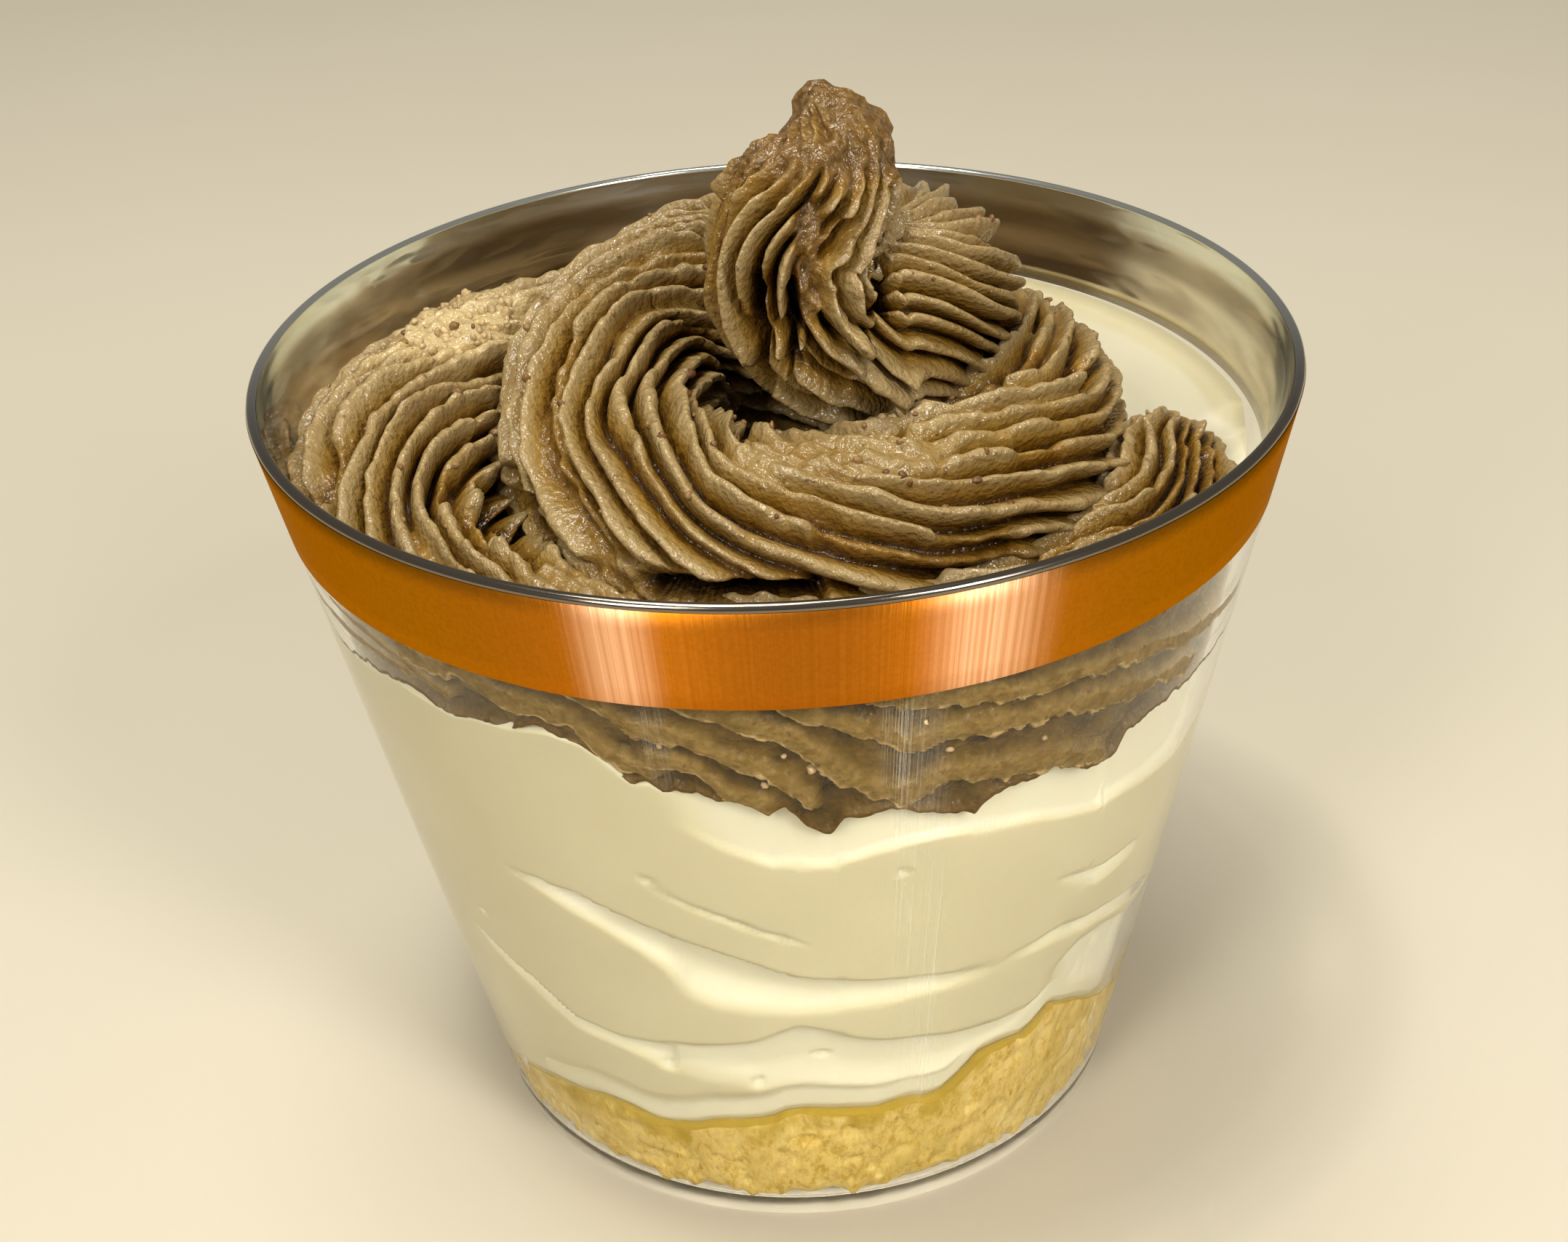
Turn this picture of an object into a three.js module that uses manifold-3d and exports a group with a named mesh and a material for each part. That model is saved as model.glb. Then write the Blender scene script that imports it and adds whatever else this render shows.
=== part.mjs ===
// Mont blanc dessert in a clear cup with a metallic rim band: sponge at the bottom, whipped cream
// above it, and a ridged rope of chestnut cream piped in a spiral that ends in an upright peak.
// Millimetres, +Z up, origin at the middle of the base.
import * as THREE from "three";
import { mergeVertices } from "three/addons/utils/BufferGeometryUtils.js";
import Module from "manifold-3d";

const wasm = await Module();
wasm.setup();

// ---------------------------------------------------------------- driving dimensions
const lipRadius = 42.5;
const cupHeight = 70;
const baseRadius = 28.6;
const wallThickness = 1.2;
const floorUnderside = 0.9; // the base stands on a foot ring
const footWidth = 1.6;
const floorTop = 2.1;
const lipRoll = 0.35; // how far the rounded lip stands out past the wall
const bandHeight = 9;
const bandThickness = 0.25;
const bandTopGap = 1.3; // bare lip above the band
const roundSteps = 44; // facets around the cup and around the layers

const gap = 0.3; // between pieces that rest on each other
const creamTop = 60.3;
const ridgeCount = 16; // teeth of the piping nozzle
const ridgeDepth = 0.2; // of the rope's half width
const stepsPerSpan = 2; // sections between two stations of the spiral
const mergeDistance = 0.001;
const fineness = 0.08; // slivers left by the cuts are merged down to this
const troughSides = 16; // sides of the smooth trough the rope leaves in the cream
const troughSlack = 0.6; // between the trough and the tips of the ridges

// Stations of the piped rope: x, y, height of its middle, half its width. It runs clockwise seen
// from above: right, front, left, back, right again, front, left, back, right, up to the tip.
const spiral = [
  [32, -3, 57, 3.5],
  [31, -7.5, 56, 7],
  [27, -17.5, 54, 8.6],
  [16, -26, 53, 8.8],
  [2, -29.5, 53, 8.8],
  [-12, -28, 54.8, 8.8],
  [-23.2, -20.8, 56.5, 9.2],
  [-28.8, -11.5, 58, 9.8],
  [-28.6, 0.5, 58.8, 10.2],
  [-21.5, 10, 59, 10.3],
  [-10, 14, 59.3, 10],
  [3, 15, 59.5, 9.5],
  [14, 12, 60, 9.5],
  [20, 3.5, 61, 9.5],
  [18, -9, 60.5, 9.5],
  [7, -18.5, 60, 9.8],
  [-6, -18, 60.5, 9.5],
  [-14, -7, 62.5, 8.9],
  [-13, 5.5, 65.5, 9],
  [-4.5, 13.5, 68, 8.8],
  [6, 13, 69, 8.4],
  [13, 6, 70, 8.2],
  [12.8, -2.5, 70.2, 8],
  [6.5, -4.5, 70.3, 7.6],
  [2.5, -3.5, 70.3, 4],
];
// The peak, from its foot to its tip: x, y, height, half its width.
const peak = [
  [3.2, -4.8, 62.3, 5.5],
  [3.1, -4.6, 65.5, 8.1],
  [3, -4.2, 71, 8.8],
  [3, -2.6, 77, 8.7],
  [4, -1.3, 83, 7.9],
  [5, -0.4, 87.5, 5.6],
  [4.6, 0, 90.3, 1.6],
];
// Spiral stations where the rope is cut into stretches that don't cross themselves.
const stretches = [0, 7, 12, 17, 21, 24];

// ---------------------------------------------------------------- cup and band
const wallSlope = (lipRadius - baseRadius) / cupHeight;
const outerAt = (z) => baseRadius + wallSlope * z;
const innerAt = (z) => outerAt(z) - wallThickness;

function meshOf(name, geometry, color, roughness, metalness, extras = {}) {
  const material = new THREE.MeshStandardMaterial({ color, roughness, metalness, ...extras });
  const mesh = new THREE.Mesh(geometry, material);
  mesh.name = name;
  return mesh;
}

// A closed profile of [radius, height] pairs turned about the vertical axis.
function turned(profile) {
  const points = profile.map(([radius, z]) => new THREE.Vector2(radius, z));
  const geometry = new THREE.LatheGeometry(points, roundSteps);
  geometry.rotateX(Math.PI / 2);
  return geometry;
}

function cupGeometry() {
  const lipTop = cupHeight;
  return turned([
    [0, floorUnderside],
    [baseRadius - footWidth, floorUnderside],
    [baseRadius - footWidth + 0.3, 0],
    [baseRadius - 0.5, 0],
    [outerAt(0.5), 0.5],
    [outerAt(lipTop - bandHeight), lipTop - bandHeight],
    [outerAt(lipTop - bandTopGap), lipTop - bandTopGap],
    [outerAt(lipTop - bandTopGap) + lipRoll, lipTop - bandTopGap + 0.3],
    [outerAt(lipTop) + 0.1, lipTop - 0.3],
    [outerAt(lipTop) - 0.4, lipTop],
    [innerAt(lipTop), lipTop - 0.3],
    [innerAt(floorTop + 1.2), floorTop + 1.2],
    [innerAt(floorTop) - 0.8, floorTop],
    [0, floorTop],
  ]);
}

function bandGeometry() {
  const low = cupHeight - bandHeight;
  const high = cupHeight - bandTopGap;
  return turned([
    [outerAt(low), low],
    [outerAt(low) + bandThickness, low],
    [outerAt(high) + bandThickness, high],
    [outerAt(high), high],
    [outerAt(low), low],
  ]);
}

// ---------------------------------------------------------------- solids and cuts
function solidOf(geometry) {
  const bare = geometry.clone();
  bare.deleteAttribute("normal");
  bare.deleteAttribute("uv");
  const merged = mergeVertices(bare, mergeDistance);
  const vertProperties = new Float32Array(merged.attributes.position.array);
  const triVerts = new Uint32Array(merged.index.array);
  return new wasm.Manifold(new wasm.Mesh({ numProp: 3, vertProperties, triVerts }));
}

function geometryOf(solid) {
  const data = solid.getMesh();
  const geometry = new THREE.BufferGeometry();
  geometry.setAttribute("position", new THREE.BufferAttribute(data.vertProperties, 3));
  geometry.setIndex(new THREE.BufferAttribute(data.triVerts, 1));
  geometry.computeVertexNormals();
  return geometry;
}

// Rows of points, each row a closed loop, skinned into one closed body with a fan at both ends.
function skinned(rows, firstMiddle, lastMiddle) {
  const count = rows[0].length;
  const points = [firstMiddle, ...rows.flat(), lastMiddle];
  const index = [];
  const at = (row, step) => 1 + row * count + (step % count);
  for (let step = 0; step < count; step += 1) {
    index.push(0, at(0, step + 1), at(0, step));
    index.push(points.length - 1, at(rows.length - 1, step), at(rows.length - 1, step + 1));
    for (let row = 0; row + 1 < rows.length; row += 1) {
      index.push(at(row, step), at(row, step + 1), at(row + 1, step + 1));
      index.push(at(row, step), at(row + 1, step + 1), at(row + 1, step));
    }
  }
  const geometry = new THREE.BufferGeometry().setFromPoints(points);
  geometry.setIndex(index);
  return geometry;
}

// ---------------------------------------------------------------- piped rope
// Catmull-Rom value at t between b and c.
function eased(a, b, c, d, t) {
  const bend = (2 * a - 5 * b + 4 * c - d) * t + (3 * (b - c) + d - a) * t * t;
  return 0.5 * (2 * b + (c - a + bend) * t);
}

// Sections of a rope along its stations: middle, two directions across, half width and twist.
// The nozzle never turns in the hand, so the ridges creep around the rope as its course bends.
function sectionsAlong(stations) {
  const last = stations.length - 1;
  const beyond = (end, next) => end.map((value, axis) => 2 * value - next[axis]);
  const rows = [beyond(stations[0], stations[1]), ...stations, beyond(stations[last], stations[last - 1])];
  const values = [];
  for (let span = 0; span < last; span += 1) {
    for (let step = 0; step < stepsPerSpan; step += 1) {
      const [a, b, c, d] = rows.slice(span, span + 4);
      values.push(b.map((value, axis) => eased(a[axis], value, c[axis], d[axis], step / stepsPerSpan)));
    }
  }
  values.push(stations[last]);
  const middles = values.map(([x, y, z]) => new THREE.Vector3(x, y, z));
  const courses = middles.map((middle, i) => {
    const ahead = middles[Math.min(i + 1, middles.length - 1)];
    const behind = middles[Math.max(i - 1, 0)];
    return ahead.clone().sub(behind).normalize();
  });
  const upright = Math.abs(courses[0].z) > 0.7;
  let across = upright ? new THREE.Vector3(-1, 0, 0) : new THREE.Vector3(0, 0, 1);
  let twist = 0;
  return middles.map((middle, i) => {
    if (i > 0) {
      const swing = new THREE.Quaternion().setFromUnitVectors(courses[i - 1], courses[i]);
      across = across.clone().applyQuaternion(swing);
      const before = Math.atan2(courses[i - 1].y, courses[i - 1].x);
      const now = Math.atan2(courses[i].y, courses[i].x);
      const turn = Math.atan2(Math.sin(before - now), Math.cos(before - now));
      const level = Math.hypot(courses[i].x, courses[i].y);
      twist += turn * THREE.MathUtils.clamp(1.6 * level - 0.6, 0, 1);
    }
    across = across.clone().addScaledVector(courses[i], -across.dot(courses[i])).normalize();
    const side = new THREE.Vector3().crossVectors(courses[i], across);
    return { middle, across, side, half: values[i][3], twist };
  });
}

function ropeSolid(sections, radii) {
  const rows = sections.map(({ middle, across, side, half, twist }) =>
    radii(half).map((radius, step, all) => {
      const angle = (step / all.length) * 2 * Math.PI + twist;
      const point = middle.clone().addScaledVector(across, radius * Math.cos(angle));
      return point.addScaledVector(side, radius * Math.sin(angle));
    }),
  );
  return solidOf(skinned(rows, sections[0].middle, sections[sections.length - 1].middle));
}

const ridged = (half) =>
  Array.from({ length: 2 * ridgeCount }, (_, step) => half * (step % 2 ? 1 - ridgeDepth : 1));
const smooth = (half) =>
  Array.from({ length: troughSides }, () => (half + troughSlack) / Math.cos(Math.PI / troughSides));

// The whole spiral; lead moves its blunt start back along its course.
function spiralSolid(radii, lead) {
  const sections = sectionsAlong(spiral);
  const towardStart = sections[0].middle.clone().sub(sections[1].middle).normalize();
  sections[0].middle.addScaledVector(towardStart, lead);
  let whole = null;
  for (let i = 0; i + 1 < stretches.length; i += 1) {
    const piece = sections.slice(stretches[i] * stepsPerSpan, stretches[i + 1] * stepsPerSpan + 1);
    const rope = ropeSolid(piece, radii);
    whole = whole ? whole.add(rope) : rope;
  }
  return whole;
}

// Cream piped under the spiral fills the middle of its rings.
function coreSolid(extra) {
  const core = new THREE.CylinderGeometry(12 + extra, 9 + extra, 12 + 2 * extra, 16);
  core.rotateX(Math.PI / 2);
  core.translate(3, -1, 57);
  return solidOf(core);
}

// The room inside the wall, less the gap, as a tapered plug.
function insideSolid(low, high) {
  return solidOf(turned([[0, low], [innerAt(low) - gap, low], [innerAt(high) - gap, high], [0, high]]));
}

// The largest body alone: the small pockets between touching ridges are closed up, and crumbs of
// cream thinner than the gaps are left out. Reading the mesh back lets slivers merge across cuts.
function mainBody(solid) {
  const larger = (one, other) => (other.volume() > one.volume() ? other : one);
  const largest = (body) => body.decompose().reduce(larger);
  const readBack = (body) => solidOf(geometryOf(body));
  return largest(readBack(largest(readBack(largest(solid)).simplify(fineness))));
}

function chestnutSolid() {
  const heap = spiralSolid(ridged, 0).add(ropeSolid(sectionsAlong(peak), ridged)).add(coreSolid(0));
  return mainBody(heap.intersect(insideSolid(35, 100)));
}

// ---------------------------------------------------------------- sponge and whipped cream
// A rise or dip of the given height around one direction, in degrees, with the given half width.
function swell(angle, toward, halfWidth, height) {
  const away = ((angle - toward + 540) % 360) - 180;
  return height * Math.exp(-((away / halfWidth) ** 2));
}

// Height of the sponge's torn top; reach is 0 in the middle and 1 at the wall.
function spongeTop(angle, reach) {
  const torn = 0.8 * Math.sin(THREE.MathUtils.degToRad(5 * angle)) * reach;
  const edge = swell(angle, -50, 17, 5) + swell(angle, -162, 18, -5.5) + swell(angle, 60, 40, 1.5);
  return 12.4 + torn + edge * reach ** 2;
}

// Height of the cream's top before the chestnut cream presses into it: low under the front.
function creamHeight(angle, reach) {
  const front = swell(angle, -85, 62, 1);
  return creamTop - 8.5 * Math.min(1, 1.25 * front) * Math.min(1, 1.6 * reach);
}

// A layer of food that fills the cup from one uneven surface up to another.
function layerGeometry(lowAt, highAt, outset, sideRows, rings) {
  const angles = Array.from({ length: roundSteps }, (_, step) => (360 / roundSteps) * step);
  const pointAt = (angle, radius, z) => {
    const turn = THREE.MathUtils.degToRad(angle);
    return new THREE.Vector3(radius * Math.cos(turn), radius * Math.sin(turn), z);
  };
  const edge = (angle, z) => innerAt(z) - gap - outset(z);
  const flat = (heightAt, reach) =>
    angles.map((angle) => pointAt(angle, reach * edge(angle, heightAt(angle, 1)), heightAt(angle, reach)));
  const rows = [];
  for (let ring = 1; ring < rings; ring += 1) rows.push(flat(lowAt, ring / rings));
  for (let row = 0; row <= sideRows; row += 1) {
    const heights = angles.map((angle) => THREE.MathUtils.lerp(lowAt(angle, 1), highAt(angle, 1), row / sideRows));
    rows.push(angles.map((angle, i) => pointAt(angle, edge(angle, heights[i]), heights[i])));
  }
  for (let ring = rings - 1; ring > 0; ring -= 1) rows.push(flat(highAt, ring / rings));
  const axis = (heightAt) => new THREE.Vector3(0, 0, heightAt(0, 0));
  return skinned(rows, axis(lowAt), axis(highAt));
}

// The sponge shrinks away from the wall a little near the floor.
const shrink = (z) => 0.6 * Math.max(0, 1 - z / 8);

function spongeGeometry() {
  return layerGeometry(() => floorTop + gap, spongeTop, shrink, 3, 3);
}

function creamSolid() {
  const bottom = (angle, reach) => spongeTop(angle, reach) + gap;
  const fill = solidOf(layerGeometry(bottom, creamHeight, () => 0, 5, 3));
  return mainBody(fill.subtract(spiralSolid(smooth, troughSlack)).subtract(coreSolid(troughSlack)));
}

// ---------------------------------------------------------------- assembly
const dessert = new THREE.Group();
dessert.name = "mont_blanc_cup";
const clear = { transparent: true, opacity: 0.25 };
dessert.add(meshOf("cup", cupGeometry(), 0xf2f4f2, 0.08, 0, clear));
dessert.add(meshOf("rim_band", bandGeometry(), 0xd9854a, 0.28, 1));
dessert.add(meshOf("sponge", spongeGeometry(), 0xe6cf7c, 0.95, 0));
dessert.add(meshOf("whipped_cream", geometryOf(creamSolid()), 0xf3ead0, 0.55, 0));
dessert.add(meshOf("chestnut_cream", geometryOf(chestnutSolid()), 0xa5825b, 0.5, 0));

export default dessert;
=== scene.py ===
import bmesh
import bpy
import numpy as np
from mathutils import Matrix


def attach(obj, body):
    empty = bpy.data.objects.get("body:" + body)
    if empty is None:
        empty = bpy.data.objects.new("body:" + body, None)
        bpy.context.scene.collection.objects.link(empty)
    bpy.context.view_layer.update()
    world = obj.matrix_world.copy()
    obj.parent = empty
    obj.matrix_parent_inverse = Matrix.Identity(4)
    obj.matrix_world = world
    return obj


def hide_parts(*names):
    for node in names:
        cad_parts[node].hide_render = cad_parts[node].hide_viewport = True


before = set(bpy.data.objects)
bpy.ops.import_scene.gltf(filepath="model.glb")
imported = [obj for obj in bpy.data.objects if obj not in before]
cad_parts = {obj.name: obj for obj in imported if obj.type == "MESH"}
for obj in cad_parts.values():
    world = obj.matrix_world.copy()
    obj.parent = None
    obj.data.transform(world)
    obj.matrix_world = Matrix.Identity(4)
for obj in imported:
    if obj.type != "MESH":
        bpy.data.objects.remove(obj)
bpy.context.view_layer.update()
print("frame loaded")

# all shapes are worked out in millimetres, and become metres when a mesh is made
millimetre = 0.001

cup = {
    "lipRadius": 42.5,
    "height": 70.0,
    "baseRadius": 28.6,
    "wall": 1.2,
    "lip": 0.4,
    "floorUnderside": 0.6,
    "floorTop": 1.5,
    "footWidth": 1.3,
    "segments": 256,
    # faint upright scuffs, with a painted highlight where they catch the lamps: middle direction at the top
    # and at the foot and half width in degrees, strength, and the height that they reach down to, in metres
    "scuffsAndSheen": [(-78.0, -74.0, 4.6, 0.23, 0.012), (-104.5, -103.5, 2.2, 0.14, 0.05)],
    "scuffTop": 0.062,
    "scuffLength": 0.045,
    "scuffFade": (0.0595, 0.061),
}
wallSlope = (cup["lipRadius"] - cup["baseRadius"]) / cup["height"]


def outerAt(z):
    return cup["baseRadius"] + wallSlope * z


def innerAt(z):
    return outerAt(z) - cup["wall"]


# steady lumps and small helpers


def scrambled(cell, seed):
    # a steady number from 0 to 1 for each cell of a grid
    x, y, z = (cell[..., axis].astype(np.uint32) for axis in range(3))
    mixed = x * np.uint32(374761393) + y * np.uint32(668265263) + z * np.uint32(2246822519)
    mixed = mixed + np.uint32(seed * 7919 + 17)
    for shift, factor in [(15, 2654435761), (13, 1274126177)]:
        mixed = (mixed ^ (mixed >> np.uint32(shift))) * np.uint32(factor)
    mixed = mixed ^ (mixed >> np.uint32(16))
    return mixed / 4294967295.0


def lumps(points, size, seed):
    # smooth lumps from -1 to 1, about as wide as size
    scaled = np.asarray(points, float) / size
    cell = np.floor(scaled).astype(np.int64)
    part = scaled - cell
    part = part * part * (3 - 2 * part)
    total = 0
    for corner in np.ndindex(2, 2, 2):
        weight = np.prod(np.where(np.array(corner) > 0, part, 1 - part), axis=-1)
        total = total + weight * scrambled(cell + np.array(corner), seed)
    return 2 * total - 1


def layered(points, seed, *layers):
    # lumps of several sizes added up: each layer has a share and a size
    return sum(share * lumps(points, size, seed + step) for step, (share, size) in enumerate(layers))


def stacked(*parts):
    return np.stack(np.broadcast_arrays(*parts), axis=-1).astype(float)


def around(radius, azimuths, z=0.0):
    # places at a radius, a direction in degrees and a height
    turn = np.radians(azimuths)
    return stacked(radius * np.cos(turn), radius * np.sin(turn), z)


def eased(low, high, value):
    share = np.clip((value - low) / (high - low), 0, 1)
    return share * share * (3 - 2 * share)


def blended(first, second, share):
    return first + (second - first) * share


def unit(vectors):
    return vectors / np.maximum(np.linalg.norm(vectors, axis=-1, keepdims=True), 1e-9)


def ringFaces(rows, columns):
    # quads between neighbouring rows of closed loops
    row, column = np.meshgrid(np.arange(rows - 1), np.arange(columns), indexing="ij")
    after = (column + 1) % columns
    low = row * columns
    high = low + columns
    return np.stack([low + column, low + after, high + after, high + column], axis=-1).reshape(-1, 4)


def added(name, data):
    thing = bpy.data.objects.new(name, data)
    bpy.context.scene.collection.objects.link(thing)
    return thing


def makePiece(name, points, quads, triangles, material, replaced=None, fields=None):
    a, b, c, d = (points[quads[:, corner]] for corner in range(4))
    if np.sum(a * np.cross(b, c)) + np.sum(a * np.cross(c, d)) < 0:
        quads, triangles = quads[:, ::-1], triangles[:, ::-1]  # faces look outward
    mesh = bpy.data.meshes.new(name)
    corners = np.concatenate([quads.reshape(-1), triangles.reshape(-1)])
    sizes = np.repeat([4, 3], [len(quads), len(triangles)])
    starts = np.cumsum(sizes) - sizes
    mesh.vertices.add(len(points))
    mesh.vertices.foreach_set("co", (points * millimetre).astype(np.float32).ravel())
    mesh.loops.add(len(corners))
    mesh.loops.foreach_set("vertex_index", corners.astype(np.int32))
    mesh.polygons.add(len(sizes))
    mesh.polygons.foreach_set("loop_start", starts.astype(np.int32))
    mesh.polygons.foreach_set("use_smooth", np.ones(len(sizes), bool))
    mesh.update(calc_edges=True)
    for fieldName, values in (fields or {}).items():
        layer = mesh.attributes.new(fieldName, "FLOAT", "POINT")
        layer.data.foreach_set("value", values.astype(np.float32).ravel())
    mesh.validate()
    mesh.materials.append(material)
    piece = added(name, mesh)
    if replaced:
        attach(piece, "root")
        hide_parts(replaced)
    return piece


def cappedPiece(name, loops, bottom, top, material, slot, replaced, fields=None):
    # a skin over rows of closed loops, with a fan of triangles to a point at each end
    rows, count = loops.shape[:2]
    points = np.vstack([loops.reshape(-1, 3), bottom, top])
    steps = np.arange(count)
    after = (steps + 1) % count
    last = (rows - 1) * count
    lowCap = np.stack([np.full(count, rows * count), after, steps], axis=1)
    highCap = np.stack([np.full(count, rows * count + 1), last + steps, last + after], axis=1)
    capped = {key: np.append(value.ravel(), [0, 0]) for key, value in (fields or {}).items()}
    triangles = np.vstack([lowCap, highCap])
    return makePiece(name, points, ringFaces(rows, count), triangles, material, replaced, capped)


# shaders


class Wire:
    # an output of a shader tree, with arithmetic that adds Math nodes
    def __init__(self, tree, socket=None):
        self.tree = tree
        self.socket = socket

    def node(self, kind, settings=None, inputs=None, output=0):
        made = self.tree.nodes.new(kind)
        for key, value in (settings or {}).items():
            if key == "stops":
                ramp = made.color_ramp
                while len(ramp.elements) < len(value):
                    ramp.elements.new(1)
                for stop, (place, colour) in zip(ramp.elements, value):
                    stop.position = place
                    stop.color = colour
            else:
                setattr(made, key, value)
        for key, value in (inputs or {}).items():
            if isinstance(value, Wire):
                self.tree.links.new(value.socket, made.inputs[key])
            else:
                made.inputs[key].default_value = value
        return Wire(self.tree, made.outputs[output])

    def math(self, operation, first, second=0.0):
        return self.node("ShaderNodeMath", {"operation": operation}, {0: first, 1: second})

    def absolute(self):
        return self.math("ABSOLUTE", self)

    def __add__(self, other):
        return self.math("ADD", self, other)

    def __radd__(self, other):
        return self.math("ADD", other, self)

    def __sub__(self, other):
        return self.math("SUBTRACT", self, other)

    def __rsub__(self, other):
        return self.math("SUBTRACT", other, self)

    def __mul__(self, other):
        return self.math("MULTIPLY", self, other)

    def __rmul__(self, other):
        return self.math("MULTIPLY", other, self)

    def __truediv__(self, other):
        return self.math("DIVIDE", self, other)

    def between(self, low, high):
        # 0 below low, 1 above high, smooth in between
        settings = {"interpolation_type": "SMOOTHSTEP"}
        return self.node("ShaderNodeMapRange", settings, {0: self, 1: low, 2: high, 3: 0.0, 4: 1.0})

    def mixColours(self, first, second):
        # self is the share of the second colour
        settings = {"data_type": "RGBA", "clamp_factor": True}
        return self.node("ShaderNodeMix", settings, {0: self, 6: first, 7: second}, 2)


def linear(red, green, blue):
    # a display colour from 0 to 255 as the shader's own numbers
    parts = np.array([red, green, blue]) / 255
    parts = np.where(parts <= 0.04045, parts / 12.92, ((parts + 0.055) / 1.055) ** 2.4)
    return (*parts.tolist(), 1.0)


def overlaid(colour, layers):
    # each layer has a share and a display colour
    for share, layer in layers:
        colour = share.mixColours(colour, linear(*layer))
    return colour


def startMaterial(name):
    material = bpy.data.materials.new(name)
    material.use_nodes = True
    material.node_tree.nodes.clear()
    wire = Wire(material.node_tree)
    place = wire.node("ShaderNodeTexCoord", output=3)
    return material, wire, place


def finishMaterial(wire, surface):
    output = wire.tree.nodes.new("ShaderNodeOutputMaterial")
    wire.tree.links.new(surface.socket, output.inputs["Surface"])


def principled(wire, inputs):
    return wire.node("ShaderNodeBsdfPrincipled", None, inputs)


def softly(weight, radius, scale):
    # light that spreads a little inside
    return {"Subsurface Weight": weight, "Subsurface Radius": radius, "Subsurface Scale": scale}


def finishPrincipled(wire, inputs):
    finishMaterial(wire, principled(wire, inputs))


def readField(wire, name):
    # a value kept at each point of the mesh
    return wire.node("ShaderNodeAttribute", {"attribute_name": name}, None, 2)


def along(wire, place, axis):
    return wire.node("ShaderNodeSeparateXYZ", None, {0: place}, axis)


def compass(wire, place):
    # the direction around the cup, in degrees
    x, y = (along(wire, place, axis) for axis in (0, 1))
    return x.math("ARCTAN2", y, x) * 57.2958


def grain(wire, place, scale, detail=2.0, roughness=0.5):
    # scale is in repeats per metre
    inputs = {"Vector": place, "Scale": scale, "Detail": detail, "Roughness": roughness}
    return wire.node("ShaderNodeTexNoise", None, inputs)


def streaks(wire, facing, scale, detail, roughness):
    # upright lines that change around the cup alone
    inputs = {"W": facing, "Scale": scale, "Detail": detail, "Roughness": roughness}
    return wire.node("ShaderNodeTexNoise", {"noise_dimensions": "1D"}, inputs)


def bumped(wire, height, strength, distance):
    return wire.node("ShaderNodeBump", None, {"Strength": strength, "Distance": distance, "Height": height})


# camera, light and floor

view = {
    "place": (0.0, -168.93, 145.53),
    "right": (0.99884, -0.02391, -0.0418),
    "up": (0.04814, 0.51772, 0.8542),
    "forward": (-0.00121, 0.85522, -0.51827),
    "lens": 51.69,
    "sensor": 36.0,
    "nearest": 0.005,
}


def turnedTo(right, up, backward, place):
    # an object's axes and its place, in metres
    return Matrix.Translation(place) @ Matrix([right, up, backward]).transposed().to_4x4()


cameraData = bpy.data.cameras.new("camera")
cameraData.lens = view["lens"]
cameraData.sensor_width = view["sensor"]
cameraData.sensor_fit = "HORIZONTAL"
cameraData.clip_start = view["nearest"]
camera = added("camera", cameraData)
backward = [-value for value in view["forward"]]
cameraPlace = [value * millimetre for value in view["place"]]
camera.matrix_world = turnedTo(view["right"], view["up"], backward, cameraPlace)
bpy.context.scene.camera = camera
bpy.context.scene.view_settings.view_transform = "Standard"

studio = {
    "sky": (0.95, 0.93, 0.86, 1.0),
    "skyStrength": 0.24,
    "aim": (0, 0, 0.05),
    # name: place, width, height, watts, colour (metres)
    "lamps": {
        "overhead": ((-0.08, 0.08, 0.75), 0.35, 0.25, 2.6, (1.0, 0.97, 0.9)),
        "spark": ((-0.12, -0.1, 0.8), 0.08, 0.08, 1.4, (1.0, 0.98, 0.92)),
        "frontLeft": ((-0.3, -0.5, 0.5), 0.15, 0.3, 2.1, (1.0, 0.98, 0.94)),
        "frontRight": ((0.35, -0.45, 0.45), 0.15, 0.3, 2.5, (1.0, 0.98, 0.94)),
    },
    "floorReach": 2000.0,
}
world = bpy.data.worlds.new("studio")
world.use_nodes = True
world.node_tree.nodes["Background"].inputs["Color"].default_value = studio["sky"]
world.node_tree.nodes["Background"].inputs["Strength"].default_value = studio["skyStrength"]
bpy.context.scene.world = world
for lampName, (lampPlace, width, height, watts, colour) in studio["lamps"].items():
    lampData = bpy.data.lights.new(lampName, "AREA")
    lampData.shape = "RECTANGLE"
    lampData.size = width
    lampData.size_y = height
    lampData.energy = watts
    lampData.color = colour
    lamp = added(lampName, lampData)
    lamp.visible_camera = False
    backward = unit(np.array(lampPlace) - np.array(studio["aim"]))
    sideways = unit(np.cross([0, 0, 1], backward))
    lamp.matrix_world = turnedTo(sideways, np.cross(backward, sideways), backward, lampPlace)

paleFloor, wire, place = startMaterial("paleFloor")
patch = grain(wire, place, 12.0, 3.0)
floorColour = (patch * 0.6).mixColours(linear(210, 200, 177), linear(218, 210, 190))
finishPrincipled(wire, {"Base Color": floorColour, "Roughness": 0.6})
floorCorners = np.array([[-1.0, -1, 0], [1, -1, 0], [1, 1, 0], [-1, 1, 0]]) * studio["floorReach"]
floor = makePiece("floor", floorCorners, np.array([[0, 1, 2, 3]]), np.zeros((0, 3), int), paleFloor)
print("camera, light and floor ready")

# chestnut cream, piped as one ridged rope

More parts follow.
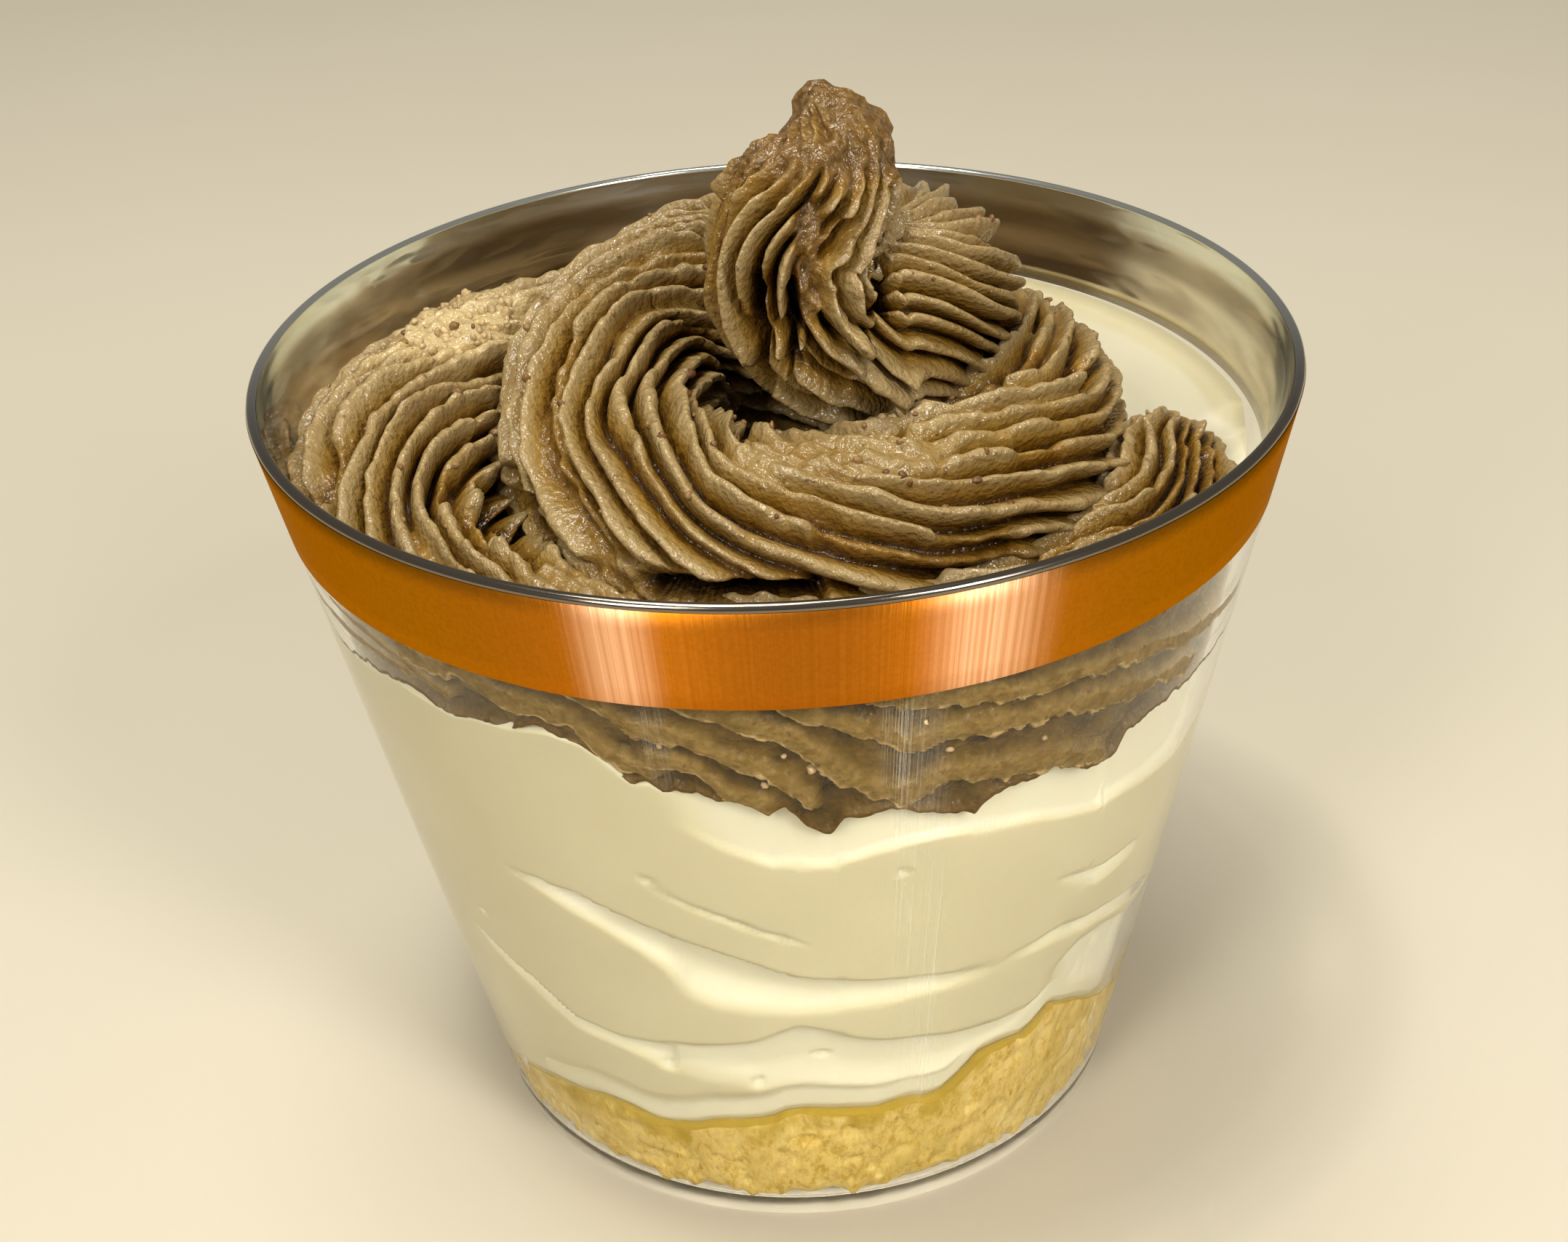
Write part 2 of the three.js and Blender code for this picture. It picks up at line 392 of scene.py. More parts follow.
rope = {
    "ridges": 26,
    "pointsPerRidge": 11,
    "spacing": 0.35,
    "grooveDepth": 0.28,
    "peakGrooveDepth": 0.42,
    "wallBite": 0.10,
    "serration": 0.36,
    "fineSerration": 0.2,
    "tornEdge": 0.1,
    "dug": 0.5,
    "filled": 0.5,
    "lean": 0.26,
    "leanLength": 12.0,
    "grain": 0.06,
    "wander": 0.45,
    "sway": 0.15,
    "peakTurn": 0.5,
    "peakTurnHeights": (73.0, 89.0),
    "rearingHeights": (68.0, 76.0),
    "drapedUpTo": (130.0, 110.0),  # along the rope
    # how steeply its bed rises to the glass, and how much of that the rope follows
    "bedSlope": 1.3,
    "bedFollowed": 0.97,
    "behindFilm": 1.4,
    # the smeared tip is painted darker between these heights, as painted shade
    "shadedTipHeights": (81.0, 86.0),
    "lumpRadius": 9.0,
    "seed": 5,
    # smeared flat: place, reach, share, and how far below the crests, as a share of the groove
    "smears": [
        ((4.5, -1.5, 91.5), (12.0, 12.0, 8.2), 0.95, 0.22),
        ((3.2, -11.5, 80.5), (1.6, 4.0, 6.5), 0.9, 0.62),
        ((4.0, -19.5, 69.0), (10.0, 3.6, 3.8), 0.9, 0.22),
        ((-27.5, 10.5, 69.0), (6.5, 6.0, 3.0), 0.9, 0.1),
        ((-14.0, -26.0, 62.0), (10.0, 5.0, 2.2), 0.85, 0.3),
    ],
    # raised or cut marks: from, to, half width, height
    "marks": [
        ((8.2, -1.2, 88.2), (8.4, -1.2, 88.6), 1.1, 0.9),
        ((8.9, -5.5, 85.6), (9.3, -5.8, 81.6), 0.9, 0.9),
        ((-1.3, -12.0, 79.8), (-1.4, -12.0, 73.9), 0.7, -4.5),
        ((-1.4, -12.0, 73.9), (-1.4, -11.2, 70.8), 0.7, -4.5),
        ((1.6, -12.4, 79.4), (1.3, -12.6, 73.2), 0.6, -4.0),
        ((8.6, -8.6, 80.0), (8.3, -10.4, 77.0), 0.7, -3.5),
        ((5.6, -12.0, 79.0), (6.1, -12.2, 75.0), 1.1, 1.3),
        ((6.1, -12.2, 75.0), (7.5, -11.8, 72.9), 1.2, 1.3),
        ((7.5, -11.8, 72.9), (9.4, -11.8, 71.2), 1.2, 1.3),
        ((9.4, -11.8, 71.2), (11.0, -12.1, 70.8), 1.0, 0.9),
        ((-22.4, -11.5, 63.2), (-21.0, -15.0, 62.4), 2.0, -5.0),
        ((-21.0, -15.0, 62.4), (-19.9, -18.6, 62.0), 1.7, -5.0),
        ((-10.0, -24.9, 61.8), (-3.7, -27.9, 62.3), 1.0, -4.0),
        ((-3.7, -27.9, 62.3), (2.0, -28.5, 62.5), 1.0, -4.0),
    ],
    # x, y, height of the middle, half width
    "stations": [
        [31.5, 0.5, 59.5, 2.6], [31.3, -5.5, 58.2, 6.1], [27.3, -17, 54.8, 8.5], [16, -26, 53, 8.8],
        [2, -29.5, 53, 8.8], [-12, -28, 53.8, 9], [-23.5, -21.5, 55, 9.6], [-30, -11.5, 57, 10.3],
        [-30.3, 1, 58.5, 10.4], [-23.5, 12, 59.5, 10.4], [-11, 17, 60, 10], [3, 17.5, 60, 9.5],
        [14, 13.5, 60, 9.5], [20, 3.5, 61, 9.5], [18, -9, 60.5, 9.5], [7, -18.5, 60, 9.8],
        [-5.5, -17.5, 60.5, 9.8], [-13, -7, 62.5, 9.4], [-12.5, 5.5, 65.5, 9.2],
        [-4.5, 13.5, 68, 8.8], [5, 12.5, 69.3, 8.4], [11, 8.6, 71, 8.2], [13, 2.2, 72.5, 7.8],
        [11.2, -3.2, 73, 7.6],
    ],
    # then it bends upward evenly: start, first and last heading, radius, half width, stations
    "bend": ([7.6, -5.3, 73.1], (-0.96, -0.2, 0.08), (-0.02, 0.1, 1.0), 6.9, 7.9, 6),
    "peak": [
        [2.5, -5.0, 82.2, 7.6], [4.2, -3.6, 85.0, 6.5], [5.0, -2.4, 87.2, 5.2],
        [4.8, -1.3, 89.0, 3.5], [4.3, -0.6, 90.5, 2.0], [4.2, -0.2, 91.5, 0.7],
    ],
    "golden": (-27.5, 9.5, 69.5),  # a paler place
    "goldenReach": (0.003, 0.008),  # in metres
    # made in four pieces, split at these stations
    "splits": [6, 12, 18],
    "pieces": ["chestnutFrontTurn", "chestnutBackTurn", "chestnutInnerTurn", "chestnutPeak"],
}


# where the chestnut cream ends on the glass: direction in degrees and height
chestnutEdge = [
    (-180, 61.4), (-172, 60), (-164, 57), (-153, 53.9), (-146, 54.4), (-139, 55.2), (-133, 54.7),
    (-130, 54.4), (-127, 55), (-122, 55.3), (-117, 56), (-113, 55.4), (-110.7, 54.1), (-107.8, 52.2),
    (-106, 52.6), (-104.5, 51.9), (-100.5, 51.8), (-98.6, 51.1), (-95.1, 50.7), (-93, 49.6), (-91.1, 50.4),
    (-88.8, 48.4), (-87, 47.7), (-85.6, 47.8), (-84.7, 49.1), (-81.5, 49), (-74.7, 47.9), (-69.2, 46.9),
    (-65.8, 48.7), (-59, 48.7), (-51, 46.7), (-48.9, 46.9), (-47.9, 49.2), (-40, 49.5), (-35, 49.4),
    (-28, 49.6), (-20, 51), (-12, 54), (-4, 58), (4, 61), (60, 61.2), (136, 61.3), (170, 61.5),
]


def aroundWall(keys, azimuths):
    # a height that changes around the cup, from pairs of direction and height
    places, heights = zip(*sorted(keys))
    return np.interp(azimuths, places, heights, period=360)


def onStretch(keys, azimuths):
    # the same, but nothing before the first pair or after the last
    inside = (azimuths > keys[0][0]) & (azimuths < keys[-1][0])
    return aroundWall(keys, azimuths) * inside


def throughStations(stations, spacing):
    # a smooth curve through the stations, in even steps
    rows = np.array(stations, float)
    rows = np.vstack([2 * rows[0] - rows[1], rows, 2 * rows[-1] - rows[-2]])
    share = np.linspace(0, 1, 40, endpoint=False)[:, None]
    spans = []
    for a, b, c, d in zip(rows, rows[1:], rows[2:], rows[3:]):
        bend = (2 * a - 5 * b + 4 * c - d) * share + (3 * (b - c) + d - a) * share**2
        spans.append(0.5 * (2 * b + (c - a + bend) * share))
    curve = np.vstack([*spans, rows[-2:-1]])
    steps = np.linalg.norm(np.diff(curve[:, :3], axis=0), axis=1)
    length = np.concatenate([[0], np.cumsum(steps)])
    even = np.linspace(0, length[-1], int(length[-1] / spacing) + 1)
    columns = [np.interp(even, length, curve[:, i]) for i in range(curve.shape[1])]
    atStations = length[:: len(share)]
    return np.stack(columns, axis=1), even, atStations


def bentUpward(start, first, last, radius, half, count):
    # stations on an even bend from the first heading to the last
    first = unit(np.array(first))
    last = unit(np.array(last))
    inward = unit(last - first * (last @ first))
    full = np.arccos(first @ last)
    pivot = np.array(start) + radius * inward
    turns = np.linspace(0, full, count)[:, None]
    places = pivot + radius * (first * np.sin(turns) - inward * np.cos(turns))
    return [[*place, half] for place in places]


def carriedAcross(course):
    # a direction across the rope, carried along it without turning
    across = [unit(np.array([0, 0, 1.0]) - course[0] * course[0][2])]
    for before, now in zip(course, course[1:]):
        middle = unit(before + now)
        moved = across[-1] - 2 * (across[-1] @ middle) * middle
        moved = moved - 2 * (moved @ now) * now
        moved = -moved if moved @ across[-1] < 0 else moved
        across.append(unit(moved - now * (moved @ now)))
    return np.array(across)


def fromLine(points, start, end):
    # the offset of each point from a straight line between two places
    start, end = np.array(start, float), np.array(end, float)
    course = end - start
    share = np.clip((points - start) @ course / (course @ course), 0, 1)
    return points - (start + share[..., None] * course)


def aroundFront(azimuths, first, last, fade=2.0):
    # 1 between two directions, fading out just beyond them
    return eased(first - fade, first, azimuths) * eased(last + fade, last, azimuths)


def ropeCourse():
    # the middle of the rope, and how far its ridges are turned about it
    stations = rope["stations"] + bentUpward(*rope["bend"]) + rope["peak"]
    curve, distance, atStations = throughStations(stations, rope["spacing"])
    middle = curve[:, :3]
    half = curve[:, 3:]
    course = unit(np.gradient(middle, axis=0))
    across = carriedAcross(course)
    # the nozzle never turns in the hand, so the ridges creep around the rope as its course bends
    heading = np.unwrap(np.arctan2(course[:, 1], course[:, 0]))
    flatness = np.hypot(course[:, 0], course[:, 1])
    twist = np.cumsum(-np.diff(heading, prepend=heading[0]) * np.clip(1.6 * flatness - 0.6, 0, 1))
    twist = twist + rope["peakTurn"] * eased(*rope["peakTurnHeights"], middle[:, 2])
    return middle, half, across, np.cross(course, across), twist[:, None], distance, atStations


def smearedPlaces(rough):
    # where the ridges are smeared together, and how far below the crests
    smear = np.zeros(rough.shape[:2])
    sunk = np.zeros(rough.shape[:2])
    for spot, reach, share, below in rope["smears"]:
        gone = np.linalg.norm((rough - np.array(spot)) / np.array(reach), axis=-1)
        here = share * eased(1.15, 0.75, gone)
        sunk = np.where(here > smear, below, sunk)
        smear = np.maximum(smear, here)
    smear = smear + 0.35 * eased(0, 0.3, smear) * lumps(rough, 2.0, rope["seed"] + 9)
    return np.clip(smear, 0, 1), sunk


def withMarks(lift, rough, outward):
    # adds the raised and cut marks, and says where a cut opens a gap, which the material paints nearly
    # black as painted shade
    gap = np.zeros_like(lift)
    torn = 0.25 * lumps(rough, 0.9, rope["seed"] + 24)
    for start, end, reach, height in rope["marks"]:
        offset = fromLine(rough, start, end)
        inDepth = np.sum(offset * outward, axis=-1, keepdims=True)
        gone = np.linalg.norm(offset - 0.8 * inDepth * outward, axis=-1) / reach
        mark = height * eased(1.3, 0.4, gone + torn)
        lift = lift + mark
        gap = np.maximum(gap, eased(-1.0, -3.0, mark))
    return lift, gap


def pressedByCup(points, s, unrolled):
    # rests on the cream near the glass, stands just behind its film there, and is flat on the foil
    reachOut = np.hypot(points[..., 0], points[..., 1])
    facing = np.degrees(np.arctan2(points[..., 1], points[..., 0]))
    rest = aroundWall(chestnutEdge, facing) + 0.5 + 0.5 * lumps(unrolled, 2.2, rope["seed"] + 14)
    rest = rest - rope["bedSlope"] * np.maximum(innerAt(rest) - reachOut, 0)
    under = np.maximum(rest - points[..., 2], 0) * eased(*rope["drapedUpTo"], s)
    points[..., 2] = points[..., 2] + rope["bedFollowed"] * under
    height = points[..., 2]
    behindFilm = aroundFront(facing, film["from"] + 2, film["to"] - 2)
    behindFilm = behindFilm * eased(film["top"] + 0.6, film["top"] - 0.6, height)
    limit = innerAt(height) + rope["wallBite"] - rope["behindFilm"] * behindFilm
    squeeze = np.minimum(1, limit / np.maximum(reachOut, 1e-6))
    points[..., :2] = points[..., :2] * squeeze[..., None]
    return points, eased(-0.15, 0.1, reachOut - limit)


def ropeSurface():
    middle, half, across, side, twist, distance, atStations = ropeCourse()
    ridges = rope["ridges"]
    seed = rope["seed"]
    count = ridges * rope["pointsPerRidge"]
    angle = np.arange(count) / count * 2 * np.pi
    s, theta = np.meshgrid(distance, angle, indexing="ij")
    unrolled = stacked(rope["lumpRadius"] * np.cos(theta), rope["lumpRadius"] * np.sin(theta), s)

    # every ridge, flank and groove has its own lumps along its length
    phase = theta / (2 * np.pi) * ridges
    phase = phase + rope["wander"] * lumps(unrolled, 6.0, seed)
    ridge = np.round(phase)
    own = np.mod(ridge, ridges)
    groove = np.mod(np.floor(phase), ridges)
    alongRidge = stacked(own * 13.7, s + own * 5.3, 0)
    alongFlank = stacked(own * 13.7 + 4.1 * np.sign(phase - ridge), s + own * 3.1, 0)
    alongGroove = stacked(groove * 7.3, s + groove * 4.7, 0)

    crest = 1 - np.abs(phase - ridge) * 2  # 1 on the crest, 0 in the groove
    torn = rope["tornEdge"] * layered(alongFlank, seed + 18, (1, 1.3), (0.7, 0.65))
    torn = torn * eased(0.0, 0.25, crest) * eased(1.0, 0.75, crest)
    broken = eased(0.4, 0.5, lumps(alongRidge, 7.0, seed + 2))
    shape = crest + torn - 0.18 * broken * eased(0.0, 0.3, crest)
    # most ridges are round fingers, and some stretches are thin torn fins
    finger = np.sin(np.pi / 2 * np.clip((shape - 0.14) / 0.76, 0, 1)) ** 0.7
    fin = np.clip(1.15 * shape, 0, 1) ** 1.3
    rearing = eased(*rope["rearingHeights"], middle[:, 2])[:, None]
    thin = 0.4 * eased(0.1, 0.6, lumps(alongRidge, 10.0, seed + 27)) * (1 - eased(0.0, 0.2, rearing))
    thin = np.maximum(thin, 0.65 * eased(0.7, 1.0, rearing))
    rise = blended(finger, fin, thin)
    webbed = rope["filled"] * eased(0.2, 0.55, lumps(unrolled / np.array([1, 1, 2.2]), 4.5, seed + 22))
    rise = np.maximum(rise, webbed * (1 + 0.25 * lumps(unrolled, 1.3, seed + 23)))
    tall = (1 + 0.22 * lumps(alongRidge, 9.0, seed + 1)) * (1 - 0.45 * broken)
    ragged = layered(alongRidge, seed + 3, (rope["serration"], 1.3), (rope["fineSerration"], 0.7))
    ragged = ragged * (1 - 0.5 * eased(0.2, 0.6, rearing)) * eased(0.3, 0.75, crest)
    dug = rope["dug"] * eased(0.1, 0.8, lumps(alongGroove, 9.0, seed + 20)) * eased(0.45, 0.1, crest)

    sway = rope["sway"] * layered(alongRidge, seed + 16, (1, 1.2), (0.8, 6.0))
    lean = rope["lean"] * 2 * np.pi / ridges * lumps(alongRidge, rope["leanLength"], seed + 21)
    direction = angle + twist + (sway / half + lean) * eased(0.1, 0.7, crest)
    outward = np.cos(direction)[..., None] * across[:, None] + np.sin(direction)[..., None] * side[:, None]
    rough = middle[:, None] + half[..., None] * outward * 0.95

    smear, sunk = smearedPlaces(rough)
    depth = blended(rope["grooveDepth"], rope["peakGrooveDepth"], rearing) * half
    slim = np.minimum(1, half / 5)
    ridged = (rise * tall - 1 - dug) * depth + ragged * slim
    clotted = layered(rough, seed + 6, (0.45, 2.2), (0.5, 1.1)) + 0.3 * lumps(rough, 0.6, seed + 12)
    lift = blended(ridged, clotted * slim - sunk * depth, smear)
    lift, gap = withMarks(lift, rough, outward)
    lift = lift + rope["grain"] * (lumps(rough, 0.9, seed + 8) + 0.6 * lumps(rough, 0.5, seed + 10))
    # painted shade: the share of each groove's height, which the colour ramp paints dark in the grooves and
    # light on the crests
    paintedShade = np.clip((lift + depth) / depth, 0, 1.2)
    # painted shade: the smeared tip is painted darker toward the top
    paintedShade = paintedShade * (1 - 0.75 * smear * eased(*rope["shadedTipHeights"], rough[..., 2]))
    size = half * (1 + 0.03 * lumps(stacked(s / 12, 0, 0), 1.0, seed + 11))
    points = middle[:, None] + (size + lift)[..., None] * outward
    points, pressed = pressedByCup(points, s, unrolled)
    fields = {"crest": paintedShade, "pressed": pressed, "smear": smear, "gap": gap}
    return points, fields, middle, distance, atStations


def pastePiece(name, points, fields, middle, first, last, material):
    # the stretch of a rope or film between two of its loops
    stretch = slice(first, last + 1)
    ownFields = {key: value[stretch] for key, value in fields.items()}
    ends = middle[first], middle[last]
    node = "chestnut_cream"
    return cappedPiece(name, points[stretch], *ends, material, node, node, ownFields)


# its film pressed on the glass, under the foil band
film = {
    "columns": 620,
    "rows": 58,
    "from": -178.0,
    "to": -5.0,
    "top": 61.5,
    "recess": 0.55,
    "thick": 3.2,
    "lumpRadius": 38.0,
    "seed": 71,
    # pale ribs that touch the glass: their course as directions and heights, and half their width
    "ribs": [
        ([(-136, 59), (-127, 59.4), (-121, 58), (-114, 57.5), (-110.5, 54.8), (-105.5, 53.4)], 0.75),
        ([
            (-114, 60.7), (-108.6, 59), (-106.5, 57.4), (-100.6, 56.5), (-96.9, 55.1), (-93, 53.9),
            (-88.5, 50.6),
        ], 0.7),
        ([
            (-102, 60.4), (-98, 59.8), (-93, 57.9), (-89.3, 56.2), (-84, 52.1), (-80, 50.8),
            (-76.4, 50.5), (-74, 51.4), (-64, 50.5), (-51.5, 47.6),
        ], 0.8),
        ([
            (-92, 60.8), (-85.5, 57.8), (-78, 55.5), (-70, 55.6), (-58, 54.5), (-48, 52.8), (-36, 51.5),
        ], 0.75),
        ([(-86, 61.4), (-77, 59.4), (-66, 58.2), (-52, 57), (-40, 55), (-24, 54)], 0.6),
        ([(-105.6, 54.6), (-99.8, 53.8), (-97.4, 51.6), (-93, 50.2)], 0.6),
        ([(-160, 58), (-150, 57.4), (-142, 57), (-136, 56.8)], 0.35),
        ([(-150, 59.6), (-143, 58.8), (-137, 58), (-130, 56.6)], 0.3),
    ],
}


def filmSurface():
    azimuths = np.linspace(film["from"], film["to"], film["columns"])
    direction, share = np.meshgrid(azimuths, np.linspace(0, 1, film["rows"]), indexing="ij")
    seed = film["seed"]
    level = around(film["lumpRadius"], direction)
    ragged = layered(level, seed, (0.4, 2.6), (0.35, 1.2), (0.2, 0.5))
    edge = np.minimum(aroundWall(chestnutEdge, direction) + ragged, film["top"] - 0.7)
    ending = aroundFront(direction, film["from"] + 8, film["to"] - 16, 14)
    z = blended(edge, blended(edge + 1, film["top"], ending), share)
    here = around(film["lumpRadius"], direction, z)
    tearing = layered(here, seed + 3, (0.3, 2.4), (0.45, 1.1), (0.3, 0.6))
    near = np.zeros_like(z)
    brinkHighlight = np.zeros_like(z)
    for course, halfWidth in film["ribs"]:
        # each rib is torn below, and fades into the recess above
        height = aroundWall(course, direction) + 0.35 * lumps(level, 4.0, seed + 6)
        above = (z - height) / halfWidth
        inside = 1.3 * tearing - above
        below = eased(1.15, 0.95, inside)
        faded = eased(3.0, 0.6, above + tearing)
        beside = aroundFront(direction, course[0][0], course[-1][0])
        near = np.maximum(near, below * faded * beside)
        brinkHighlight = np.maximum(brinkHighlight, eased(0.45, 0.85, inside) * below * beside)
    foot = eased(0.8, 0.2, z - edge)
    recess = film["recess"] * (1 + layered(here, seed + 7, (0.6, 3.0), (0.5, 1.2)))
    recess = recess + 0.12 * lumps(here, 0.6, seed + 9)
    depth = blended(recess, -0.08, np.maximum(near, foot))
    outerSide = around(innerAt(z) - depth, direction, z)
    back = np.linspace(film["rows"] - 1, 0, 6).astype(int)
    thickness = film["thick"] * blended(0.3, 1.0, share[:, back]) * blended(0.25, 1.0, ending[:, back])
    innerSide = around(innerAt(z[:, back]) - thickness, direction[:, back], z[:, back] + 0.15)
    points = np.concatenate([outerSide, innerSide], axis=1)
    # painted shade: darker where the recess is deeper and lighter on the ribs, with a painted highlight
    # along each rib's torn lower edge; the crest field carries it to the colour ramp
    shade = 0.31 + 0.18 * lumps(here, 2.0, seed + 10) - 0.14 * eased(0.3, 0.9, recess)
    shade = blended(shade, 0.7 + 0.14 * lumps(here, 0.9, seed + 11) + 0.3 * brinkHighlight, near)
    fields = {"crest": shade, "pressed": foot * (1 - near), "smear": 0.4 * near}
    blank = np.zeros((len(azimuths), len(back)))
    fields = {key: np.concatenate([value, blank], axis=1) for key, value in fields.items()}
    return points, fields, points.mean(axis=1)


def pasteMaterial(name, shine, patchy, colours):
    material, wire, place = startMaterial(name)
    stops = [(level, linear(*colour)) for level, colour in zip(levels, colours)]
    crest, pressed, smear, gap = (readField(wire, key) for key in ("crest", "pressed", "smear", "gap"))
    patches = grain(wire, place, 140.0, 3.0, 0.6).between(0.35, 0.68)
    flecks = grain(wire, place, 1500.0, 1.0).between(0.68, 0.74)
    grains = grain(wire, place, 1700.0).between(0.3, 0.7)
    moist = grain(wire, place, 700.0).between(0.35, 0.65)
    golden = tuple(value * millimetre for value in rope["golden"])
    fromGolden = wire.node("ShaderNodeVectorMath", {"operation": "DISTANCE"}, {0: place, 1: golden}, 1)
    golden = 1 - (fromGolden + 0.006 * (patches - 0.5)).between(*rope["goldenReach"])
    # painted shade: the crest field paints the grooves dark and the crests light
    paste = wire.node("ShaderNodeValToRGB", {"stops": stops}, {0: crest + 0.1 * (grains - 0.5)})
    layers = [
        (patches * patchy, (126, 94, 52)),
        (smear * grains * 0.35, (150, 128, 88)),
        (golden * 0.7, (208, 184, 132)),
        (flecks * 0.5, (74, 44, 26)),
        (pressed * 0.5, (92, 66, 22)),
        # painted shade: nearly black in the deep cut gaps
        (gap * 0.9, (20, 8, 0)),
    ]
    inputs = {
        "Base Color": overlaid(paste, layers),
        "Roughness": 0.3 - 0.19 * moist,
        "Normal": bumped(wire, grains, 0.42, 0.0003),
        "IOR": 1.5,
        "Specular IOR Level": shine,
        **softly(0.15, (1.0, 0.55, 0.2), 0.0012),
    }
    finishPrincipled(wire, inputs)
    return material


# colours from the bottom of the grooves to the crests, at these shares of the height: painted shade, dark
# in the grooves and light on the crests
levels = [0.0, 0.25, 0.55, 0.82, 1.0]
swirlColours = [(52, 27, 0), (108, 72, 8), (146, 111, 44), (154, 128, 78), (164, 140, 94)]
glassColours = [(40, 26, 0), (76, 54, 3), (106, 82, 32), (134, 108, 58), (184, 158, 108)]
chestnut = pasteMaterial("chestnutPaste", 0.5, 0.25, swirlColours)
chestnutOnGlass = pasteMaterial("chestnutOnGlass", 0.12, 0.06, glassColours)

ropePoints, ropeFields, middle, distance, atStations = ropeSurface()
splits = [int(np.argmin(np.abs(distance - atStations[split]))) for split in rope["splits"]]
ends = [0, *splits, len(middle) - 1]
for pieceName, first, last in zip(rope["pieces"], ends, ends[1:]):
    pastePiece(pieceName, ropePoints, ropeFields, middle, first, last, chestnut)
    print(pieceName, "piped")
points, fields, middle = filmSurface()
pastePiece("chestnutFilm", points, fields, middle, 0, len(points) - 1, chestnutOnGlass)
print("film on the glass spread")

# crumbs of chestnut stuck on the swirl and on the glass

crumbs = {
    "seed": 8,
    "scattered": 130,
    "size": (0.16, 0.42),
    # gathered: place, reach and number
    "gathered": [(rope["golden"], 5.5, 90), ((8.5, -15.5, 69.0), 2.5, 14)],
    "gatheredSize": (0.2, 0.5),
    # on the glass: direction, height, half size
    "onGlass": [
        (-88.1, 53.9, 0.5), (-86.5, 53.4, 0.45), (-67.8, 50.3, 0.45), (-69.8, 50.5, 0.3), (-65.3, 50, 0.3),
        (-101.9, 54.9, 0.35), (-93.2, 52.5, 0.3), (-91, 55.4, 0.25), (-81.2, 53, 0.6), (-88.7, 50.4, 0.4),
        (-118, 58.3, 0.25), (-104, 56.2, 0.25), (-76, 57.2, 0.25), (-61, 52.3, 0.3), (-73, 54, 0.3),
    ],
}


def crumbPlaces(chance):
    # middle, half size and paleness of every crumb
    places = []
    for direction, height, size in crumbs["onGlass"]:
        middle = around(innerAt(height) - 0.95 * size, direction, height)
        places.append((middle, 0.85 * size, 0.6))
    # on the swirl only where a crest stands high enough to be seen
    seen = ropePoints[(ropeFields["crest"] > 0.8) & (ropePoints[..., 2] > 64)]
    for pick in chance.integers(0, len(seen), crumbs["scattered"]):
        places.append((seen[pick], chance.uniform(*crumbs["size"]), 0.0))
    for spot, reach, amount in crumbs["gathered"]:
        close = ropePoints[np.linalg.norm(ropePoints - np.array(spot), axis=-1) < reach]
        for pick in chance.integers(0, len(close), amount):
            places.append((close[pick], chance.uniform(*crumbs["gatheredSize"]), 0.8))
    return places


def crumbPiece(material):
    chance = np.random.default_rng(crumbs["seed"])
    mesh = bmesh.new()
    bmesh.ops.create_icosphere(mesh, subdivisions=2, radius=1)
    ball = np.array([list(vertex.co) for vertex in mesh.verts])
    ballFaces = np.array([[vertex.index for vertex in face.verts] for face in mesh.faces])
    mesh.free()
    places = crumbPlaces(chance)
    points = []
    for number, (middle, size, _) in enumerate(places):
        swell = 1 + 0.35 * lumps(ball + number * 9.7, 0.9, 3) + 0.2 * lumps(ball + number * 5.1, 0.45, 4)
        stretch = chance.uniform(0.6, 1.25, 3)
        points.append(middle + ball * stretch * swell[:, None] * size)
    triangles = np.concatenate([ballFaces + number * len(ball) for number in range(len(places))])
    pale = np.repeat([paleness for *_, paleness in places], len(ball))
    points, quads = np.concatenate(points), np.zeros((0, 4), int)
    node = "chestnut_cream"
    return makePiece("chestnutCrumbs", points, quads, triangles, material, node, {"pale": pale})


crumbPaste, wire, place = startMaterial("chestnutCrumb")
tone = grain(wire, place, 420.0, 1.0).between(0.35, 0.65)
speck = grain(wire, place, 3000.0)
pale = readField(wire, "pale")
crumbColour = tone.mixColours(linear(146, 110, 62), linear(104, 66, 34))
crumbColour = (pale * (1 - 0.35 * tone)).mixColours(crumbColour, linear(216, 190, 138))
grainy = bumped(wire, speck, 0.5, 0.0003)
finishPrincipled(wire, {"Base Color": crumbColour, "Roughness": 0.3, "IOR": 1.48, "Normal": grainy})
crumbPiece(crumbPaste)
print("crumbs scattered")

# sponge cake

sponge = {
    "segments": 560,
    "sideRows": 56,
    "rings": 14,
    "top": 12.0,
    "floorGap": 0.08,
    "wallBite": 0.19,
    "tuck": 1.65,
    "lumpRadius": 29.0,
    "edgeRadius": 28.0,
    # pits: depth and size
    "pits": [(0.1, 3.0), (0.22, 1.5), (0.22, 0.8)],
    "seed": 31,
    # its upper edge on the glass: direction and height
    "edge": [
        (-180, 7.5), (-165, 5.6), (-157, 5.5), (-147, 8), (-136, 10), (-125, 11.2), (-117, 10.6),
        (-113, 10.2), (-104, 11.5), (-98, 12.5), (-94, 13.8), (-85, 13.2), (-78, 13), (-68, 13),
        (-65, 14.3), (-62, 16.2), (-54, 16.7), (-49, 18.8), (-42, 17), (-33, 13.6), (-10, 12),
        (20, 13), (60, 14), (100, 13), (140, 11),
    ],
}


def directions(settings):
    return np.linspace(-180, 180, settings["segments"], endpoint=False)


